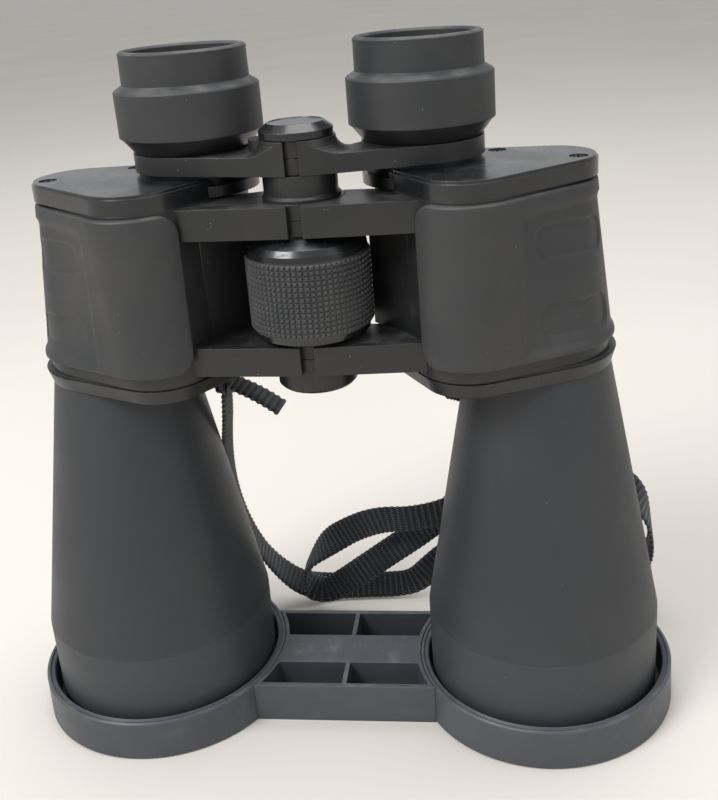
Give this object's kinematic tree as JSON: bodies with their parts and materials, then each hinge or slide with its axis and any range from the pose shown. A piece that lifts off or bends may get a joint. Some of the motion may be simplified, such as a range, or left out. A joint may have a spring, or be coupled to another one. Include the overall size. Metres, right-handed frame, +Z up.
{
  "type": "astronomy binoculars",
  "caption": "Porro-prism astronomy binoculars with 60 mm objectives, centre hinge and focus wheel, neck strap, standing on a dual objective cap.",
  "frame": {"origin": "on the surface it stands on, midway between the two objective axes, at the middle of the bottom of the box round everything but the strap", "axes": "+X from one objective axis to the other, towards the half with the plain eyepiece; +Y from the side with the focus wheel, which is on top in use, to the underside; +Z up the optical axes from the objectives to the eyepieces"},
  "size_m": [0.2068, 0.1134, 0.2075],
  "materials": {
    "cell_lacquer": "matt soft-touch lacquer",
    "armour_rubber": "matt, fine grain",
    "cup_rubber": "matt",
    "grip_rubber": "matt, knurled in small pyramids",
    "moulded_black": "satin, light scuffs and dust",
    "gloss_black": "gloss with hairline scratches",
    "lens_glass": "coated",
    "prism_glass": "ground sides, polished faces",
    "black_anodised": "black anodised, satin",
    "spring_steel": "bright",
    "blackened_steel": "black oxide, satin",
    "spindle_brass": "turned",
    "washer_nylon": "natural nylon",
    "cap_plastic": "satin moulded, light flow marks",
    "webbing": "woven polypropylene"
  },
  "bodies": {
    "left_half": {"left_barrel": "cell_lacquer", "left_objective_crown": "lens_glass", "left_objective_flint": "lens_glass", "left_objective_flange": "moulded_black", "left_upper_prism": "prism_glass", "left_lower_prism": "prism_glass", "left_prism_shelf": "black_anodised", "left_prism_clips": "spring_steel", "left_ocular_plate": "gloss_black", "left_plate_screws": "blackened_steel", "left_armour": "armour_rubber", "left_strap_lug": "blackened_steel", "left_housing": "moulded_black", "hinge_tube": "spring_steel", "hinge_collar": "moulded_black", "hinge_end_cap": "moulded_black", "thrust_washers": "washer_nylon", "strap": "webbing", "strap_tail": "webbing"},
    "right_half": {"right_barrel": "cell_lacquer", "right_objective_crown": "lens_glass", "right_objective_flint": "lens_glass", "right_objective_flange": "moulded_black", "right_upper_prism": "prism_glass", "right_lower_prism": "prism_glass", "right_prism_shelf": "black_anodised", "right_prism_clips": "spring_steel", "right_ocular_plate": "gloss_black", "right_plate_screws": "blackened_steel", "right_armour": "armour_rubber", "right_strap_lug": "blackened_steel", "right_housing": "moulded_black", "right_retaining_ring": "black_anodised"},
    "focus_knob": {"focus_wheel": "gloss_black", "focus_grip": "grip_rubber"},
    "left_carriage": {"left_bridge_arm": "moulded_black", "left_ocular_tube": "black_anodised", "left_field_lens": "lens_glass", "focus_spindle": "spindle_brass", "hinge_cap": "gloss_black"},
    "right_carriage": {"right_bridge_arm": "moulded_black", "right_ocular_tube": "black_anodised", "right_field_lens": "lens_glass", "right_ocular_body": "moulded_black", "right_eye_lens": "lens_glass", "right_eyecup": "cup_rubber"},
    "dioptre": {"left_ocular_body": "moulded_black", "left_eye_lens": "lens_glass", "left_eyecup": "cup_rubber"},
    "cap_swivel": {"left_retaining_ring": "black_anodised"},
    "lens_cap": {"left_cap_cup": "cap_plastic", "right_cap_cup": "cap_plastic", "cap_bridge": "cap_plastic"}
  },
  "joints": [
    {"name": "fold", "type": "hinge", "parent": "left_half", "child": "right_half", "pos_m": [0, -0.0131, 0.12], "axis": [0, 0, -1], "range_deg": [-3, 8], "deforming": ["strap"]},
    {"name": "focus", "type": "hinge", "parent": "left_half", "child": "focus_knob", "pos_m": [0, -0.0131, 0.1443], "axis": [0, 0, 1], "range_deg": [0, 360]},
    {"name": "left_focus_travel", "type": "slide", "parent": "left_half", "child": "left_carriage", "axis": [0, 0, 1], "range_m": [0, 0.006]},
    {"name": "right_focus_travel", "type": "slide", "parent": "right_half", "child": "right_carriage", "axis": [0, 0, 1], "range_m": [0, 0.006]},
    {"name": "dioptre_turn", "type": "hinge", "parent": "left_carriage", "child": "dioptre", "pos_m": [-0.03235, 0.0015, 0.19], "axis": [0, 0, 1], "range_deg": [-60, 60]},
    {"name": "cap_turn", "type": "hinge", "parent": "left_half", "child": "cap_swivel", "pos_m": [-0.0626, 0, 0.006], "axis": [0, 0, -1], "range_deg": [-1.5, 4]},
    {"name": "cap_off", "type": "slide", "parent": "cap_swivel", "child": "lens_cap", "axis": [0, 0, -1], "range_m": [0, 0.03]}
  ],
  "couplings": [
    {"joint": "left_focus_travel", "follows": "focus", "m_per_rad": 0.00095493},
    {"joint": "right_focus_travel", "follows": "focus", "m_per_rad": 0.00095493},
    {"joint": "cap_turn", "follows": "fold", "ratio": 0.5}
  ]
}
